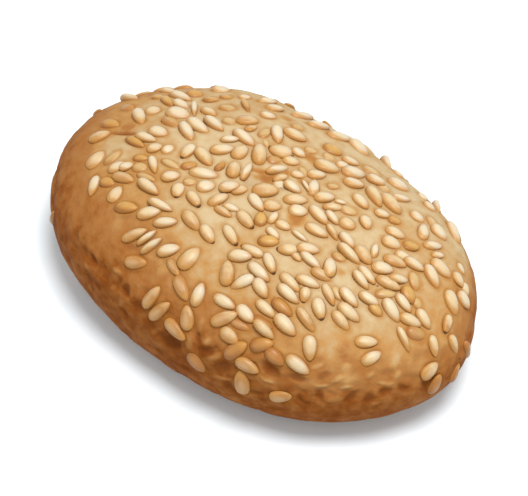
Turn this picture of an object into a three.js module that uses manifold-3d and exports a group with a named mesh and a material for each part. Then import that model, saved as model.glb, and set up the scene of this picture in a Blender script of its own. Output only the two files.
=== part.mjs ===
// A small oval bagel whose hole has baked shut, with sesame seeds over its top.
// Millimetres, +Z up. The origin is the middle of the flat underside, and +X runs along the bagel's long axis.
import * as THREE from "three";
import { mergeVertices } from "three/addons/utils/BufferGeometryUtils.js";
import Module from "manifold-3d";

// Driving dimensions of the bagel without its seeds
const LENGTH = 76;
const WIDTH = 50.4;
const HEIGHT = 24.2;

// Profile of the crust: flat underside, rounded lower edge, belly and dome
const BELLY_HEIGHT = 0.4 * HEIGHT;
const BASE_SHARE = 0.82;
const UNDER_DEPTH = BELLY_HEIGHT / Math.sqrt(1 - BASE_SHARE ** 2);
const DOME_FULLNESS = 2.25;

// Waves round the rim that make the oval uneven: depth is a share of the radius, and peak is an angle
const RIM_WAVES = [
  { count: 2, depth: 0.003, peak: -1.41 },
  { count: 3, depth: 0.003, peak: -0.61 },
  { count: 4, depth: 0.011, peak: 0.78 },
  { count: 5, depth: 0.003, peak: -0.2 },
  { count: 6, depth: 0.007, peak: 0 },
];

// Broad hollows and swellings of the dome
const SWELL_DEPTH = 0.25;
const SWELL_LENGTH = 21;

// The shoulder that has slumped on the +Y side: the middle of the slump, how far it reaches and how low it sinks
const SLUMP = { x: 10, y: 23, reach: 12, depth: 2.5 };

// Long hollows in the crust: the closed hole near the middle of the top, and a fold on the shoulder of the -X end
const CLOSED_HOLE = { x: -0.4, y: 2.1, turn: 0.71, halfLength: 4, halfWidth: 1.8, depth: 1.4 };
const FOLD = { x: -26.1, y: -2.4, turn: 0.26, halfLength: 2.6, halfWidth: 0.9, depth: 0.45 };
const HOLLOWS = [CLOSED_HOLE, FOLD];

// Short wrinkles in the bare band below the seeds: the angles round the bagel and the levels that they lie between
const WRINKLE_COUNT = 12;
const WRINKLE_SIZE = { halfLength: 2.3, halfWidth: 0.85, depth: 0.4 };
const WRINKLE_ANGLES = { from: 2.9, to: 5.2 };
const WRINKLE_LEVELS = { lowest: -0.1, highest: 0.35 };
const WRINKLE_LEAN = 0.5;
const WRINKLE_DRAWS = 4409;

// Patches without seeds: the hollows, and one on the -Y side of the +X end
const BARE_END = { x: 31.5, y: -12, turn: 0.9, halfLength: 5, halfWidth: 3 };
const BARE_PATCHES = [...HOLLOWS, BARE_END];
const BARE_MARGIN = 1;

// Sesame seeds are flattened drops, and the largest are set first
const SEED_COUNT = 240;
const SEED_LENGTH = 3.8;
const SEED_SIZE_SPREAD = 0.14;
const SEED_WIDTH_SHARE = 0.6;
const SEED_THICKNESS_SHARE = 0.27;
const SEED_TAPER = 0.32;
const SEED_SUNK_SHARE = 0.4;
const SEED_GAP = -0.15;
const SEED_DRAWS = 20117;
const SEED_TRIES = 30000;

// Where the seeds stop: the steepest crust that holds them, which changes round the bagel, and a thinning band above it
const STEEPEST_MEAN = 1.02;
const STEEPEST_SWING = 0.4;
const STEEPEST_PEAK = -0.2;
const THINNING_BAND = 0.5;

// Facets
const FACETS_CRUST = 6;
const FACETS_HOLLOW = 10;
const SEED_FACETS_ROUND = 4;
const SEED_FACETS_LONG = 3;
const WELD = 1e-4;

const CRUST_COLOUR = 0xc08a4c;
const CRUST_ROUGHNESS = 0.6;

const wasm = await Module();
wasm.setup();

// Repeatable draws from 0 to 1, the same on every run.
function drawsFrom(start) {
  const MULTIPLIER = 48271;
  const MODULUS = 2147483647;
  let state = start;
  return () => {
    state = (state * MULTIPLIER) % MODULUS;
    return state / MODULUS;
  };
}

// A closed three.js geometry as a solid.
function solidOf(geometry) {
  const bare = geometry.clone();
  bare.deleteAttribute("normal");
  bare.deleteAttribute("uv");
  const merged = mergeVertices(bare, WELD);
  const mesh = new wasm.Mesh({
    numProp: 3,
    vertProperties: merged.getAttribute("position").array,
    triVerts: new Uint32Array(merged.index.array),
  });
  return new wasm.Manifold(mesh);
}

// A solid as a geometry for a mesh.
function geometryOf(solid) {
  const mesh = solid.getMesh();
  const geometry = new THREE.BufferGeometry();
  geometry.setAttribute("position", new THREE.BufferAttribute(mesh.vertProperties, mesh.numProp));
  geometry.setIndex(new THREE.BufferAttribute(mesh.triVerts, 1));
  geometry.computeVertexNormals();
  return geometry;
}

// The crust's profile at an angle from the top (0) to the lowest point (a half turn): share of the radius, and height.
function crustProfile(angle) {
  const level = Math.cos(angle);
  if (level < 0) return new THREE.Vector2(Math.sin(angle), BELLY_HEIGHT + UNDER_DEPTH * level);
  const power = 2 / DOME_FULLNESS;
  return new THREE.Vector2(Math.sin(angle) ** power, BELLY_HEIGHT + (HEIGHT - BELLY_HEIGHT) * level ** power);
}

// The place on the uneven oval crust in a direction from the middle of the belly.
function crustPoint(direction) {
  const angle = Math.atan2(direction.y, direction.x);
  const { x: reach, y: height } = crustProfile(Math.acos(THREE.MathUtils.clamp(direction.z, -1, 1)));
  let rim = 1;
  for (const wave of RIM_WAVES) {
    rim += reach ** 2 * wave.depth * Math.cos(wave.count * (angle - wave.peak));
  }
  const x = (LENGTH / 2) * reach * rim * Math.cos(angle);
  const y = (WIDTH / 2) * reach * rim * Math.sin(angle);
  const wave = (2 * Math.PI) / SWELL_LENGTH;
  const swell = SWELL_DEPTH * Math.sin(wave * x + 1) * Math.cos(wave * y);
  const slump = SLUMP.depth * Math.exp(-((x - SLUMP.x) ** 2 + (y - SLUMP.y) ** 2) / SLUMP.reach ** 2);
  return new THREE.Vector3(x, y, height + ((swell - slump) * height) / HEIGHT);
}

// The direction at an angle round the bagel and a level from the belly (0) to the top (1) or the lowest point (-1).
function directionAt(level, round) {
  const flat = Math.sqrt(1 - level ** 2);
  return new THREE.Vector3(flat * Math.cos(round), flat * Math.sin(round), level);
}

// The place on the crust in a direction, with its outward normal and how much crust the direction stands for.
function crustSpot(direction) {
  const STEP = 1e-3;
  const side = new THREE.Vector3(1, 0, 0).cross(direction).normalize();
  const ahead = new THREE.Vector3().crossVectors(direction, side);
  const slopeAlong = (way) => {
    const before = crustPoint(direction.clone().addScaledVector(way, -STEP).normalize());
    const after = crustPoint(direction.clone().addScaledVector(way, STEP).normalize());
    return after.sub(before).divideScalar(2 * STEP);
  };
  const normal = slopeAlong(side).cross(slopeAlong(ahead));
  const spread = normal.length();
  return { point: crustPoint(direction), normal: normal.divideScalar(spread), spread };
}

// The direction along the crust at a spot that lies nearest to +X where the crust faces up, and is level elsewhere.
function eastOf(spot) {
  return new THREE.Vector3(0, 1, 0).cross(spot.normal).normalize();
}

// Whether a spot lies on a bare patch.
function isBare(spot, patch) {
  const apart = new THREE.Vector2(spot.point.x - patch.x, spot.point.y - patch.y);
  apart.rotateAround(new THREE.Vector2(), -patch.turn);
  return Math.hypot(apart.x / (patch.halfLength + BARE_MARGIN), apart.y / (patch.halfWidth + BARE_MARGIN)) < 1;
}

// How likely a seed is to stick at a spot, from 0 to 1.
function seedCover(spot) {
  if (BARE_PATCHES.some((patch) => isBare(spot, patch))) return 0;
  const steepness = Math.acos(spot.normal.z);
  const angle = Math.atan2(spot.point.y / WIDTH, spot.point.x / LENGTH);
  const steepest = STEEPEST_MEAN + STEEPEST_SWING * Math.cos(angle - STEEPEST_PEAK);
  return THREE.MathUtils.clamp((steepest - steepness) / THINNING_BAND, 0, 1);
}

// Half of a seed's extent in a direction that is a turn away from its long axis.
function seedReach(seed, turn) {
  const long = seed.length / 2;
  const wide = (seed.length * SEED_WIDTH_SHARE) / 2;
  return (long * wide) / Math.hypot(wide * Math.cos(turn), long * Math.sin(turn));
}

// The gap between two seeds, below 0 where one would lie over the other.
function seedGap(earlier, later) {
  const apart = later.point.clone().sub(earlier.point);
  const way = Math.atan2(apart.dot(later.across), apart.dot(later.along));
  const turn = Math.atan2(later.along.dot(earlier.across), later.along.dot(earlier.along));
  return apart.length() - seedReach(later, way) - seedReach(earlier, way + turn);
}

// The seeds on the crust, largest first, each with its size, place and axes.
function scatterSeeds() {
  const draw = drawsFrom(SEED_DRAWS);
  const seeds = [];
  const fullSpread = (LENGTH * WIDTH) / 4;
  for (let tries = 0; tries < SEED_TRIES && seeds.length < SEED_COUNT; tries++) {
    const spot = crustSpot(directionAt(draw(), 2 * Math.PI * draw()));
    const spin = 2 * Math.PI * draw();
    const luck = draw();
    if (luck > seedCover(spot) * Math.min(spot.spread / fullSpread, 1)) continue;

    const share = seeds.length / SEED_COUNT;
    const along = eastOf(spot).applyAxisAngle(spot.normal, spin);
    const across = new THREE.Vector3().crossVectors(spot.normal, along);
    const length = SEED_LENGTH * (1 + SEED_SIZE_SPREAD * (1 - 2 * share));
    const seed = { ...spot, along, across, length };
    if (seeds.every((earlier) => seedGap(earlier, seed) > SEED_GAP)) seeds.push(seed);
  }
  return seeds;
}

// One seed as a flattened drop, round at one end and pointed at the other, partly sunk in the crust.
function seedSolid(seed) {
  const geometry = new THREE.SphereGeometry(1, SEED_FACETS_ROUND, SEED_FACETS_LONG);
  const places = geometry.getAttribute("position");
  const thickness = seed.length * SEED_THICKNESS_SHARE;
  for (let i = 0; i < places.count; i++) {
    const taper = 1 + SEED_TAPER * places.getY(i);
    const across = (places.getX(i) * taper * seed.length * SEED_WIDTH_SHARE) / 2;
    const along = (places.getY(i) * seed.length) / 2;
    places.setXYZ(i, along, -across, (places.getZ(i) * taper * thickness) / 2);
  }
  const height = thickness * (0.5 - SEED_SUNK_SHARE);
  const place = new THREE.Matrix4().makeBasis(seed.along, seed.across, seed.normal);
  place.setPosition(seed.point.clone().addScaledVector(seed.normal, height));
  return solidOf(geometry.applyMatrix4(place));
}

// The crust alone: a ball of even facets, each corner moved to its place on the uneven oval, cut flat underneath.
function crustSolid() {
  const geometry = new THREE.IcosahedronGeometry(1, FACETS_CRUST);
  const places = geometry.getAttribute("position");
  for (let i = 0; i < places.count; i++) {
    places.setXYZ(i, ...crustPoint(new THREE.Vector3().fromBufferAttribute(places, i)).toArray());
  }
  const floor = new THREE.BoxGeometry(2 * LENGTH, 2 * WIDTH, 2 * HEIGHT).translate(0, 0, -HEIGHT);
  return solidOf(geometry).subtract(solidOf(floor));
}

// The direction from the middle of the belly to the top of the crust over a place on the plan.
function directionOver({ x, y }) {
  const reach = Math.hypot((2 * x) / LENGTH, (2 * y) / WIDTH);
  const round = Math.atan2(y / WIDTH, x / LENGTH);
  return directionAt(Math.sqrt(1 - reach ** DOME_FULLNESS), round);
}

// A long shallow hollow to cut out of the crust: an ellipsoid centred on the surface, turned about its normal.
function hollowSolid(direction, turn, { halfLength, halfWidth, depth }) {
  const spot = crustSpot(direction);
  const along = eastOf(spot).applyAxisAngle(spot.normal, turn);
  const across = new THREE.Vector3().crossVectors(spot.normal, along);
  const geometry = new THREE.SphereGeometry(1, FACETS_HOLLOW, FACETS_HOLLOW / 2).rotateX(Math.PI / 2);
  const place = new THREE.Matrix4().makeBasis(along, across, spot.normal).setPosition(spot.point);
  return solidOf(geometry.scale(halfLength, halfWidth, depth).applyMatrix4(place));
}

// The wrinkles, side by side round the band and each a little off level.
function wrinkleSolids() {
  const draw = drawsFrom(WRINKLE_DRAWS);
  const { from, to } = WRINKLE_ANGLES;
  const { lowest, highest } = WRINKLE_LEVELS;
  const wrinkles = [];
  for (let i = 0; i < WRINKLE_COUNT; i++) {
    const round = from + ((i + draw()) / WRINKLE_COUNT) * (to - from);
    const level = lowest + (highest - lowest) * draw();
    wrinkles.push(hollowSolid(directionAt(level, round), WRINKLE_LEAN * (2 * draw() - 1), WRINKLE_SIZE));
  }
  return wrinkles;
}

// The bagel is one piece: the crust, less its hollows and wrinkles, with the seeds baked onto it.
function bagelSolid() {
  let solid = crustSolid();
  for (const hollow of HOLLOWS) solid = solid.subtract(hollowSolid(directionOver(hollow), hollow.turn, hollow));
  for (const wrinkle of wrinkleSolids()) solid = solid.subtract(wrinkle);
  for (const seed of scatterSeeds()) solid = solid.add(seedSolid(seed));
  return solid;
}

const bagel = new THREE.Mesh(
  geometryOf(bagelSolid()),
  new THREE.MeshStandardMaterial({ color: CRUST_COLOUR, roughness: CRUST_ROUGHNESS, metalness: 0 }),
);
bagel.name = "bagel";

const part = new THREE.Group();
part.name = "sesame_bagel";
part.add(bagel);

export default part;
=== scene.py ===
"""A small oval sesame bagel whose hole has baked shut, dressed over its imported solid.

Forms are worked out in millimetres, in the part's own frame, and meshes are written in metres.
"""

import logging
import math
from dataclasses import dataclass, field
from enum import Enum

import bpy
import numpy as np
from mathutils import Matrix, Vector, noise


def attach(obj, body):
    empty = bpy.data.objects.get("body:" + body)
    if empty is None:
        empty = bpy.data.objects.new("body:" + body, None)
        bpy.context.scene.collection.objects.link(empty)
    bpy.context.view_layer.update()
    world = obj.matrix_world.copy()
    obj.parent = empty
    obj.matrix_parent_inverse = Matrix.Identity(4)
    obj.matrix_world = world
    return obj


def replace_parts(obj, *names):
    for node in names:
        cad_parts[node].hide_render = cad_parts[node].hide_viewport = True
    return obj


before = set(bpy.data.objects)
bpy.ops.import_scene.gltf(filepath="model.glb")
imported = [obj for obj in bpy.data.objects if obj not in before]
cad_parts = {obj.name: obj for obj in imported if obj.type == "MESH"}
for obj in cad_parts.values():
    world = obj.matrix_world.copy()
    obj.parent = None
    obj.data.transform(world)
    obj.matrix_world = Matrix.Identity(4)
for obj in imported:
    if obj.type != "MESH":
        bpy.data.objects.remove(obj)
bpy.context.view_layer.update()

LOG = logging.getLogger("bagel")
MM = 0.001
BODY = "root"
NODE = "bagel"
MIDDLE = 0.5
TINY = 1e-9
Colour = tuple[float, float, float]
Shade = tuple[float, Colour]
Span = tuple[float, float]

# The curve between screen colours and linear light.
SCREEN_FULL = 255
CURVE_START = 0.04045
CURVE_SLOPE = 12.92
CURVE_SHIFT = 0.055
CURVE_POWER = 2.4


class SeedKind(Enum):
    """How a sesame seed has baked."""

    PALE = "pale"
    TOASTED = "toasted"
    GLAZED = "glazed"


def srgb(red: int, green: int, blue: int) -> Colour:
    """Turns a colour as a screen shows it, from 0 to 255, into linear light.

    Args:
        red: Red from 0 to 255.
        green: Green from 0 to 255.
        blue: Blue from 0 to 255.

    Returns:
        The linear red, green and blue, from 0 to 1.
    """
    shares = [value / SCREEN_FULL for value in (red, green, blue)]
    low = [share / CURVE_SLOPE for share in shares]
    high = [((share + CURVE_SHIFT) / (1 + CURVE_SHIFT)) ** CURVE_POWER for share in shares]
    red_light, green_light, blue_light = (
        a if share <= CURVE_START else b for share, a, b in zip(shares, low, high)
    )
    return red_light, green_light, blue_light


def smooth(low: float, high: float, values: np.ndarray) -> np.ndarray:
    """Rises smoothly from 0 at low to 1 at high.

    Args:
        low: Where the rise starts.
        high: Where the rise ends, below low for a fall.
        values: The values to map.

    Returns:
        Shares from 0 to 1.
    """
    share = np.clip((values - low) / (high - low), 0, 1)
    return share * share * (3 - 2 * share)


def unevenness(points: np.ndarray, wavelength: float, start: float) -> np.ndarray:
    """Gives soft noise from about -1 to 1 at each point.

    Args:
        points: Places in millimetres, one to a row.
        wavelength: Size of the noise's lumps in millimetres.
        start: Place in the noise to start from, so that two calls differ.

    Returns:
        One value for each point.
    """
    shifted = points / wavelength + start
    return np.array([noise.noise(Vector(place)) for place in shifted.tolist()])


class Draws:
    """Repeatable draws from 0 to 1, the same on every run."""

    MULTIPLIER = 48271
    MODULUS = 2147483647

    def __init__(self, start: int) -> None:
        """Starts the draws from a whole number."""
        self.state = start

    def next(self) -> float:
        """Gives the next draw."""
        self.state = self.state * self.MULTIPLIER % self.MODULUS
        return self.state / self.MODULUS

    def rows(self, count: int, width: int) -> np.ndarray:
        """Gives a table of draws, filled row by row."""
        return np.array([self.next() for _ in range(count * width)]).reshape(count, width)


@dataclass(frozen=True)
class RimWave:
    """One wave round the rim: its depth is a share of the radius, and its peak is an angle."""

    count: int
    depth: float
    peak: float


@dataclass(frozen=True)
class Hollow:
    """A long hollow in the crust, placed on the plan and turned from +X."""

    x: float
    y: float
    turn: float
    half_length: float
    depth: float

    def local(self, points: np.ndarray) -> tuple[np.ndarray, np.ndarray]:
        """Gives where each point is in the hollow.

        Args:
            points: Places in millimetres, one to a row.

        Returns:
            How far across the hollow each point is in millimetres, and its share along the hollow,
            from 1 in the middle to 0 at the ends.
        """
        east, north = points[:, 0] - self.x, points[:, 1] - self.y
        cos, sin = math.cos(self.turn), math.sin(self.turn)
        along = (east * cos + north * sin) / self.half_length
        return north * cos - east * sin, np.clip(1 - along**2, 0, 1)


@dataclass(frozen=True)
class ClosedHole(Hollow):
    """The crease where the hole has closed: a sharp lip on one side, a slope on the other."""

    x: float = -0.4
    y: float = 2.1
    turn: float = 0.71
    half_length: float = 4.0
    depth: float = 0.7
    half_width: float = 1.8
    least_width: float = 1e-6
    wall_end: float = 0.2
    slope_start: float = 0.35
    lip_place: float = 0.4
    lip_width: float = 0.6
    lip_height: float = 0.15
    # Painted shade darkens the inside of the crease.
    darkening: float = 0.4

    def lift(self, points: np.ndarray) -> tuple[np.ndarray, np.ndarray]:
        """Gives the crease's shape and its painted shade.

        Args:
            points: Places on the crust.

        Returns:
            The lift in millimetres, and how much painted shade darkens the crease.
        """
        across, share = self.local(points)
        half = self.half_width * np.sqrt(share) + self.least_width
        place = (across + half) / (2 * half)
        inside = smooth(0.0, self.wall_end, place) * smooth(1.0, self.slope_start, place) * np.sqrt(share)
        lip = np.exp(-(((across + half + self.lip_place) / self.lip_width) ** 2)) * share
        return self.lip_height * lip - self.depth * inside, self.darkening * inside


@dataclass(frozen=True)
class Fold(Hollow):
    """The fold on the shoulder of one end: a thin groove with a low step beyond it."""

    x: float = -26.1
    y: float = -2.4
    turn: float = 0.26
    half_length: float = 2.6
    depth: float = 0.45
    groove_width: float = 0.4
    step_edge: float = 0.3
    step_full: float = 0.5
    step_end: float = 3.0
    step_drop: float = 0.12
    # Painted shade on the step beyond the groove.
    step_shade: float = 0.1

    def lift(self, points: np.ndarray) -> tuple[np.ndarray, np.ndarray]:
        """Gives the fold's shape and its painted shade.

        Args:
            points: Places on the crust.

        Returns:
            The lift in millimetres, and how much painted shade darkens the fold.
        """
        across, share = self.local(points)
        groove = np.exp(-((across / self.groove_width) ** 2)) * share
        rise = smooth(-self.step_edge, self.step_edge, across)
        step = rise * smooth(self.step_end, self.step_full, across) * share
        return -self.depth * groove - self.step_drop * step, groove + self.step_shade * step


@dataclass
class Spots:
    """Places on the crust with their outward normals, and how much crust each direction stands for."""

    points: np.ndarray
    normals: np.ndarray
    spread: np.ndarray


@dataclass(frozen=True)
class CrustForm:
    """The uneven oval dome on a flat underside, as in the solid."""

    length: float = 76.0
    width: float = 50.4
    height: float = 24.2
    belly_share: float = 0.4
    base_share: float = 0.82
    fullness: float = 2.25
    rim_waves: tuple[RimWave, ...] = (
        RimWave(2, 0.003, -1.41),
        RimWave(3, 0.003, -0.61),
        RimWave(4, 0.011, 0.78),
        RimWave(5, 0.003, -0.2),
        RimWave(6, 0.007, 0.0),
    )
    swell_depth: float = 0.25
    swell_length: float = 21.0
    swell_phase: float = 1.0
    slump_place: tuple[float, float] = (10.0, 23.0)
    slump_reach: float = 12.0
    slump_depth: float = 2.5
    step: float = 1e-3

    @property
    def belly(self) -> float:
        """Height of the widest part."""
        return self.belly_share * self.height

    @staticmethod
    def directions(levels: np.ndarray, rounds: np.ndarray) -> np.ndarray:
        """Gives directions from the middle of the belly.

        Args:
            levels: From the belly (0) to the top (1) or the lowest point (-1).
            rounds: Angles round the bagel.

        Returns:
            Unit directions, one to a row.
        """
        flat = np.sqrt(1 - levels**2)
        return np.column_stack((flat * np.cos(rounds), flat * np.sin(rounds), levels))

    def points(self, directions: np.ndarray) -> np.ndarray:
        """Gives the places on the crust in some directions.

        Args:
            directions: Unit directions, one to a row.

        Returns:
            Places in millimetres, one to a row.
        """
        angle = np.arctan2(directions[:, 1], directions[:, 0])
        level = np.clip(directions[:, 2], -1, 1)
        flat = np.sqrt(1 - level**2)
        power = 2 / self.fullness
        under_depth = self.belly / math.sqrt(1 - self.base_share**2)
        reach = np.where(level < 0, flat, flat**power)
        dome = self.belly + (self.height - self.belly) * np.maximum(level, 0) ** power
        height = np.where(level < 0, self.belly + under_depth * level, dome)
        rim = np.ones_like(angle)
        for wave in self.rim_waves:
            rim += reach**2 * wave.depth * np.cos(wave.count * (angle - wave.peak))
        x = self.length / 2 * reach * rim * np.cos(angle)
        y = self.width / 2 * reach * rim * np.sin(angle)
        pitch = 2 * math.pi / self.swell_length
        swell = self.swell_depth * np.sin(pitch * x + self.swell_phase) * np.cos(pitch * y)
        apart = np.hypot(x - self.slump_place[0], y - self.slump_place[1])
        slump = self.slump_depth * np.exp(-((apart / self.slump_reach) ** 2))
        return np.column_stack((x, y, height + (swell - slump) * height / self.height))

    def spots(self, directions: np.ndarray) -> Spots:
        """Gives the places on the crust in some directions, with their normals.

        Args:
            directions: Unit directions, one to a row.

        Returns:
            The places, normals and spreads.
        """
        side = unit(np.cross([1.0, 0.0, 0.0], directions))
        ahead = np.cross(directions, side)
        slopes = []
        for way in (side, ahead):
            before = self.points(unit(directions - self.step * way))
            after = self.points(unit(directions + self.step * way))
            slopes.append((after - before) / (2 * self.step))
        normals = np.cross(*slopes)
        spread = np.linalg.norm(normals, axis=1)
        return Spots(self.points(directions), normals / spread[:, None], spread)


def unit(rows: np.ndarray) -> np.ndarray:
    """Scales each row to length 1."""
    return rows / np.linalg.norm(rows, axis=-1, keepdims=True)


# Where seeds are seen in the picture, read off in pixels: across, down, which way the tip points in
# degrees, and for all but a few the length and width they are seen with.
PALE_PLACES = (
    (139, 115, -65, 18, 13), (152, 109, 5, 17, 10), (95, 159, 44, 24, 11), (117, 167, 25, 20, 10),
    (149, 188, -35, 28, 11), (170, 177, 5, 20, 11), (149, 213, 14, 26, 12), (134, 235, 22, 28, 10),
    (158, 131, -15, 20, 12), (146, 138, -15, 22, 9), (155, 148, 10, 17, 10), (168, 149, 30, 14, 12),
    (207, 186, 8, 20, 13), (187, 131, -57, 26, 12), (198, 126, -30, 29, 11), (275, 108, -8, 19, 8),
    (277, 135, -80, 18, 12), (299, 152, -35, 16, 10), (297, 175, -20, 15, 11), (229, 188, 3, 22, 12),
    (278, 187, -25, 20, 11), (317, 174, 0, 20, 12), (314, 187, 80, 17, 12), (324, 197, 3, 22, 11),
    (256, 204, -52, 22, 11), (273, 219, 60, 15, 9), (300, 212, -8, 20, 11), (318, 214, -47, 26, 11),
    (240, 256, -6, 25, 12), (259, 272, -42, 27, 12), (261, 288, -58, 22, 13), (266, 309, -42, 25, 11),
    (288, 294, -42, 27, 11), (308, 248, -8, 24, 11), (308, 282, -24, 26, 10), (310, 348, -88, 25, 14),
    (349, 297, -48, 25, 11), (349, 312, -39, 27, 12), (330, 267, 85, 21, 13), (311, 261, -42, 26, 9),
    (367, 274, -50, 24, 9), (361, 280, -50, 23, 9), (383, 268, -10, 23, 12), (369, 299, -33, 23, 10),
    (404, 303, -52, 23, 9), (392, 310, -58, 27, 12), (411, 320, -26, 24, 11), (424, 319, -58, 23, 10),
    (432, 276, -62, 26, 11), (441, 268, -42, 26, 10), (459, 279, -62, 18, 9), (452, 302, -72, 26, 11),
    (434, 346, -80, 22, 9), (454, 344, -68, 20, 8), (430, 371, 40, 22, 12), (366, 342, -2, 23, 12),
    (371, 358, 28, 22, 12), (340, 136, -14, 24, 10), (343, 164, -3, 14, 8), (354, 182, -15, 23, 13),
    (376, 181, -33, 21, 9), (383, 212, -18, 17, 10), (361, 200, -48, 20, 10), (332, 217, -50, 18, 8),
    (347, 239, -52, 21, 10), (392, 242, -25, 21, 11), (418, 216, -37, 17, 9), (424, 231, 80, 16, 12),
    (439, 232, -45, 21, 8), (430, 206, -38, 14, 7), (455, 232, -65, 26, 9), (433, 245, -3, 19, 9),
    (375, 250, 75, 15, 8), (403, 256, -20, 18, 8), (414, 265, -30, 24, 9), (158, 311, 38, 28, 12),
    (186, 318, 92, 25, 13), (175, 330, -45, 28, 11), (247, 366, -28, 26, 12), (241, 384, 97, 24, 15),
    (280, 399, 0, 23, 11), (466, 289, -75, 14, 6), (153, 165, -75, 19, 9), (351, 160, -22, 19, 8),
    (398, 280, -6, 21, 8), (437, 207, -60, 12, 7), (150, 297, 52, 26, 12), (264, 329, -45, 26, 11),
    (229, 336, -40, 22, 13), (438, 255, 0, 13, 7), (366, 221, -75, 15, 12), (115, 194, 60, 20, 12),
    (285, 325, -46, 28, 14),
)
# Pale seeds that have baked less than most, then ones that have baked a little more, then golden ones.
FRESH_PLACES = (
    (297, 365, -37, 28, 13), (198, 295, 70, 25, 12), (168, 249, 14, 24, 12), (165, 222, 5, 25, 10),
    (245, 314, -45, 23, 13), (160, 206, -23, 26, 9), (205, 174, -9, 31, 10), (214, 125, -37, 25, 10),
    (247, 173, 60, 20, 8), (126, 167, 20, 16, 9), (268, 116, -15, 17, 12), (273, 232, -42, 17, 8),
    (464, 300, -58, 20, 9), (462, 268, -60, 12, 6), (181, 103, -25, 18, 9), (180, 95, -18, 24, 8),
    (178, 112, -12, 25, 12), (398, 185, -32, 24, 10), (398, 175, -40, 14, 8), (359, 147, -43, 24, 10),
    (354, 172, -5, 25, 12), (242, 282, 205, 26, 11), (224, 302, -30, 25, 12), (244, 138, -36, 28, 11),
    (303, 115, -5, 22, 10), (221, 89, 0, 19, 7), (245, 97, 0, 13, 6), (168, 89, 0, 15, 5),
    (386, 164, -50, 15, 8), (423, 197, -40, 12, 6), (319, 125, -10, 23, 8), (267, 101, -3, 19, 6),
    (147, 238, 37, 24, 6), (151, 246, 34, 27, 7), (194, 108, -88, 15, 5), (230, 140, -2, 20, 6),
    (277, 170, 14, 24, 7), (305, 188, -62, 15, 4), (231, 208, -18, 18, 7), (300, 236, -35, 20, 5),
    (401, 198, -10, 20, 7), (341, 201, -10, 12, 4), (129, 96, 8, 21, 9), (290, 189, -28, 20, 8),
    (93, 185, -105, 22, 10),
)
MELLOW_PLACES = (
    (283, 225, -25, 17, 9), (317, 230, -32, 26, 11), (272, 205, -8, 19, 11), (290, 282, -44, 26, 11),
    (388, 283, -28, 27, 10), (349, 254, -40, 29, 9), (123, 178, -15, 23, 11), (99, 135, 22, 24, 9),
    (189, 258, 47, 28, 15), (291, 161, -15, 18, 9), (295, 135, -28, 26, 10), (240, 152, 50, 19, 14),
    (327, 166, -17, 28, 12), (396, 232, -30, 22, 9), (222, 149, 5, 26, 10), (224, 318, 20, 28, 13),
    (404, 339, -66, 27, 7),
)
GOLDEN_PLACES = (
    (364, 255, -52, 23, 13), (321, 275, -30, 22, 10), (259, 154, 90, 23, 15), (332, 207, -5, 21, 7),
    (203, 156, -50, 24, 13), (191, 221, -50, 24, 13), (341, 321, -50, 24, 11), (233, 169, 80, 18, 14),
    (347, 223, -30, 18, 11), (395, 261, -25, 25, 10), (297, 257, -45, 11, 7), (298, 200, -3, 25, 10),
    (306, 320, -55, 29, 10), (265, 190, -3, 27, 13), (227, 273, 88, 26, 15), (329, 295, -65, 24, 9),
    (241, 188, 5, 18, 11), (223, 212, -30, 20, 8), (333, 231, -60, 19, 7), (281, 176, 18, 16, 7),
    (391, 203, -47, 28, 11), (247, 121, -5, 23, 9), (375, 196, -58, 24, 11), (218, 200, 25, 23, 10),
    (251, 129, 20, 13, 9), (209, 111, -30, 17, 9), (135, 262, -3, 22, 13), (173, 267, -55, 20, 9),
    (181, 288, -65, 27, 13),
)
# Pale seeds whose tip has burnt.
DARK_TIP_PLACES = (
    (187, 151, -130, 19, 12), (194, 199, -55, 20, 11), (208, 234, -57, 22, 12), (245, 221, -48, 23, 12),
    (231, 235, -58, 24, 11), (252, 250, 153, 25, 10), (270, 263, -68, 22, 11), (287, 249, 175, 21, 11),
    (319, 309, -75, 23, 13), (447, 324, -105, 19, 9), (177, 191, -100, 15, 13), (280, 151, 160, 25, 14),
    (305, 295, -100, 16, 11),
)
# Toasted seeds, and browner ones.
TOASTED_PLACES = (
    (110, 123, -3, 18, 10), (107, 182, -10, 16, 11), (140, 158, 0, 16, 7), (126, 208, -3, 24, 12),
    (135, 142, -25, 21, 9), (194, 92, -5, 18, 8), (167, 100, -40, 15, 9), (157, 95, 0, 10, 6),
    (211, 98, 0, 17, 11), (226, 96, 0, 12, 8), (246, 106, -65, 15, 6), (260, 220, 90, 15, 13),
    (268, 241, -3, 22, 11), (409, 295, -65, 20, 12), (376, 310, -45, 17, 10), (436, 385, 65),
    (456, 373, 65), (333, 149, -25, 22, 13), (411, 245, -10, 18, 14), (195, 363, -50, 25, 11),
    (235, 350, 28, 26, 15), (395, 219, -20, 15, 11), (261, 345, 8, 24, 14),
)
BROWN_PLACES = (
    (262, 323, -30, 22, 9), (188, 166, 10, 17, 8), (282, 307, -40, 25, 12), (274, 357, -40, 23, 13),
    (219, 166, 45, 13, 8),
)
# Seeds sunk in the crust, and browner ones.
GLAZED_PLACES = (
    (112, 157, 40, 23, 10), (139, 167, 0, 17, 11), (146, 177, -20, 22, 8), (170, 164, -25, 22, 8),
    (189, 182, 0, 15, 13), (228, 107, -10, 18, 11), (229, 121, -20, 15, 13), (264, 133, 45, 14, 12),
    (266, 144, -70, 10, 6), (311, 150, -10, 15, 12), (304, 171, -60, 13, 8), (337, 293, -60, 17, 9),
    (386, 293, 2, 23, 10), (333, 185, 0, 14, 10), (372, 170, -28, 22, 13), (349, 209, -20, 20, 10),
    (434, 222, -60, 16, 11), (415, 281, -80, 20, 12), (329, 156, -25, 15, 8), (418, 304, -60, 14, 9),
    (384, 187, -40, 16, 8),
)
SUNK_BROWN_PLACES = (
    (298, 127, -10, 15, 10), (339, 256, -30, 17, 10), (126, 106, 0, 15, 9), (172, 120, -30),
    (239, 325, -25, 22, 10), (417, 334, -20, 21, 14), (274, 160, 0, 16, 11), (48, 219, 80, 17, 7),
    (468, 351, -80, 18, 8),
)
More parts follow.
